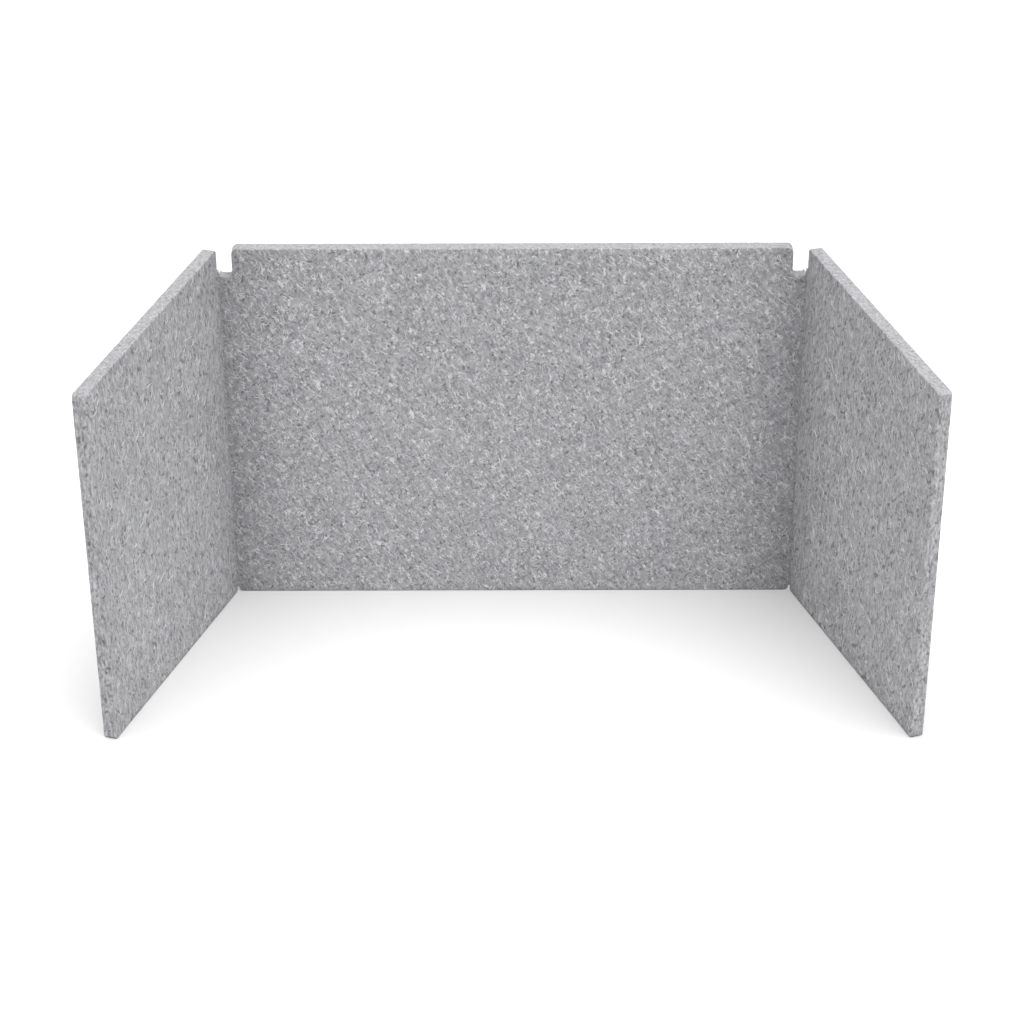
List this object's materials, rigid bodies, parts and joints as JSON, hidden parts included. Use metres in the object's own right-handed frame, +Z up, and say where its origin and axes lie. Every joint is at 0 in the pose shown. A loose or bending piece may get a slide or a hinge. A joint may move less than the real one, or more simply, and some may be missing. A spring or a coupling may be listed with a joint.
{
  "type": "study carrel",
  "caption": "Free-standing desk-top study carrel: a stiff felt back panel with a folding side wing at each end and an open slot at the top of each fold.",
  "frame": {"origin": "centre of the footprint as the carrel stands open, on the desk surface", "axes": "+X to the right as the reader faces the back panel, +Y away from the reader, +Z up"},
  "size_m": [0.7038, 0.2532, 0.35],
  "materials": {
    "grey_felt": "pressed polyester felt in a light grey heather, cut edges bare"
  },
  "bodies": {
    "back": {"back_panel": "grey_felt", "left_fold_web": "grey_felt", "right_fold_web": "grey_felt"},
    "left_side": {"left_wing": "grey_felt"},
    "right_side": {"right_wing": "grey_felt"}
  },
  "joints": [
    {"name": "left_fold", "type": "hinge", "parent": "back", "child": "left_side", "pos_m": [-0.2575, 0.11455, 0], "axis": [0, 0, -1], "range_deg": [-108, 71], "deforming": ["left_fold_web"]},
    {"name": "right_fold", "type": "hinge", "parent": "back", "child": "right_side", "pos_m": [0.2575, 0.11455, 0], "axis": [0, 0, 1], "range_deg": [-108, 71], "deforming": ["right_fold_web"]}
  ]
}
